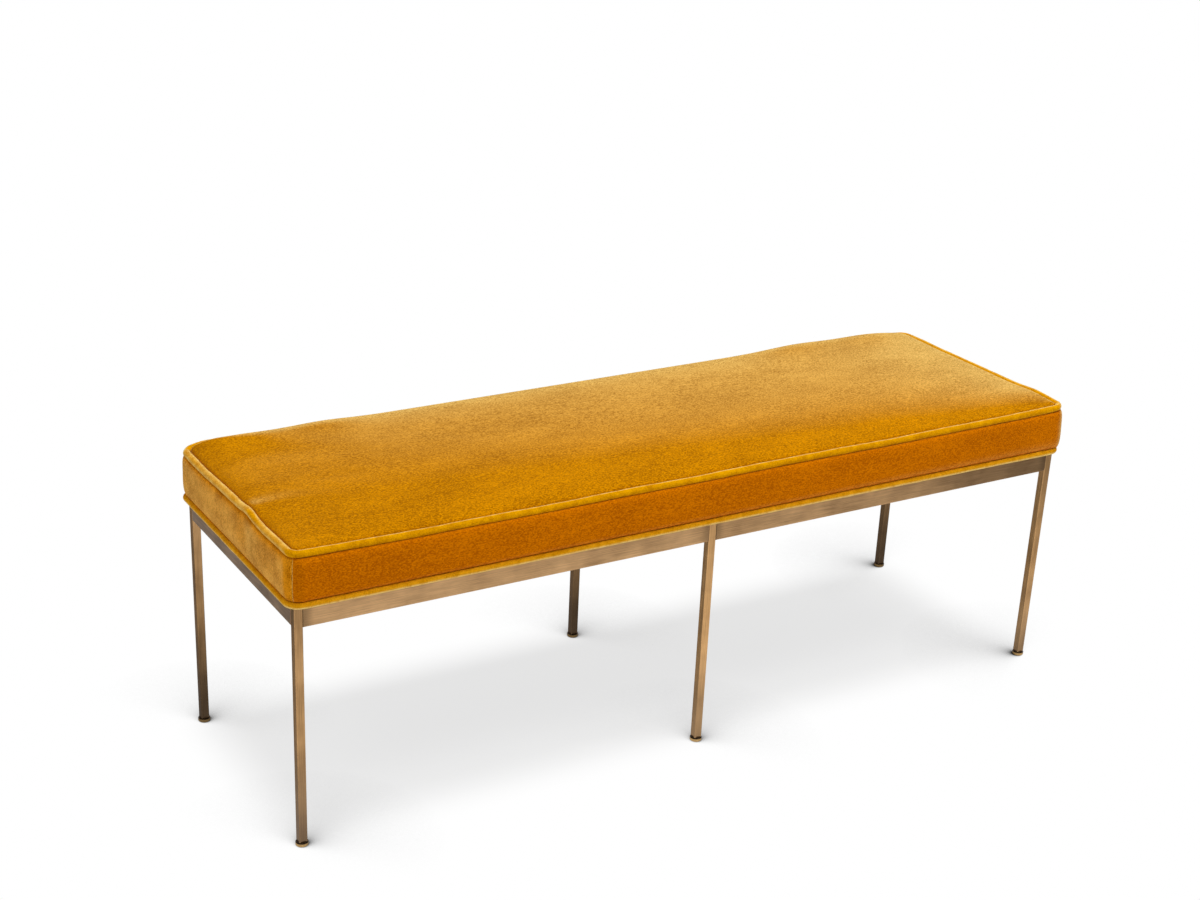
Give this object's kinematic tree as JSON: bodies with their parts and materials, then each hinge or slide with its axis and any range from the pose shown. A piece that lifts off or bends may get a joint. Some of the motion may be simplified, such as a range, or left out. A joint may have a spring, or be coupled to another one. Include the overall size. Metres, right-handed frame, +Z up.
{
  "type": "upholstered bench",
  "caption": "Long backless bench: piped velvet box cushion on a slim square-tube brass frame with six straight legs on levelling glides.",
  "frame": {"origin": "on the floor, under the middle of the bench, between its glides", "axes": "+X along the bench to its right end as seen from the front, +Y to its back, +Z up"},
  "size_m": [1.3714, 0.4314, 0.4765],
  "materials": {
    "brass_tube": "brushed, with an aged brown lacquer",
    "brass_glide": "satin, darkened",
    "steel_plug": "plain",
    "steel_tab": "brown lacquer",
    "zinc_steel": "zinc plated",
    "floor_pad": "matt",
    "plywood": "raw",
    "foam": "open-cell foam",
    "batting": "loose wadding",
    "welt_cord": "twisted paper and cotton",
    "velvet_top": "dense mohair pile",
    "velvet_side": "dense mohair pile",
    "velvet_welt": "dense mohair pile",
    "black_cloth": "thin non-woven"
  },
  "bodies": {
    "frame": {"leg_front_left": "brass_tube", "insert_front_left": "steel_plug", "leg_front_middle": "brass_tube", "insert_front_middle": "steel_plug", "leg_front_right": "brass_tube", "insert_front_right": "steel_plug", "leg_back_left": "brass_tube", "insert_back_left": "steel_plug", "leg_back_middle": "brass_tube", "insert_back_middle": "steel_plug", "leg_back_right": "brass_tube", "insert_back_right": "steel_plug", "rail_front_left": "brass_tube", "rail_front_right": "brass_tube", "rail_back_left": "brass_tube", "rail_back_right": "brass_tube", "rail_end_left": "brass_tube", "rail_end_right": "brass_tube", "cross_rail": "brass_tube", "tab_front_left": "steel_tab", "tab_front_right": "steel_tab", "tab_back_left": "steel_tab", "tab_back_right": "steel_tab", "tab_end_left": "steel_tab", "tab_end_right": "steel_tab", "seat_screws": "zinc_steel", "washers": "zinc_steel", "tee_nuts": "zinc_steel", "staples": "zinc_steel", "seat_board": "plywood", "dust_cover": "black_cloth", "foam_core": "foam", "batting_wrap": "batting", "top_panel": "velvet_top", "top_welt": "velvet_welt", "bottom_welt": "velvet_welt", "top_welt_cord": "welt_cord", "bottom_welt_cord": "welt_cord", "boxing_front": "velvet_side", "boxing_back": "velvet_side", "boxing_left": "velvet_side", "boxing_right": "velvet_side"},
    "glide_front_left": {"glide_front_left": "brass_glide", "glide_pad_front_left": "floor_pad"},
    "glide_front_middle": {"glide_front_middle": "brass_glide", "glide_pad_front_middle": "floor_pad"},
    "glide_front_right": {"glide_front_right": "brass_glide", "glide_pad_front_right": "floor_pad"},
    "glide_back_left": {"glide_back_left": "brass_glide", "glide_pad_back_left": "floor_pad"},
    "glide_back_middle": {"glide_back_middle": "brass_glide", "glide_pad_back_middle": "floor_pad"},
    "glide_back_right": {"glide_back_right": "brass_glide", "glide_pad_back_right": "floor_pad"}
  },
  "joints": [
    {"name": "level_front_left", "type": "slide", "parent": "frame", "child": "glide_front_left", "axis": [0, 0, -1], "range_m": [0, 0.01]},
    {"name": "level_front_middle", "type": "slide", "parent": "frame", "child": "glide_front_middle", "axis": [0, 0, -1], "range_m": [0, 0.01]},
    {"name": "level_front_right", "type": "slide", "parent": "frame", "child": "glide_front_right", "axis": [0, 0, -1], "range_m": [0, 0.01]},
    {"name": "level_back_left", "type": "slide", "parent": "frame", "child": "glide_back_left", "axis": [0, 0, -1], "range_m": [0, 0.01]},
    {"name": "level_back_middle", "type": "slide", "parent": "frame", "child": "glide_back_middle", "axis": [0, 0, -1], "range_m": [0, 0.01]},
    {"name": "level_back_right", "type": "slide", "parent": "frame", "child": "glide_back_right", "axis": [0, 0, -1], "range_m": [0, 0.01]}
  ]
}
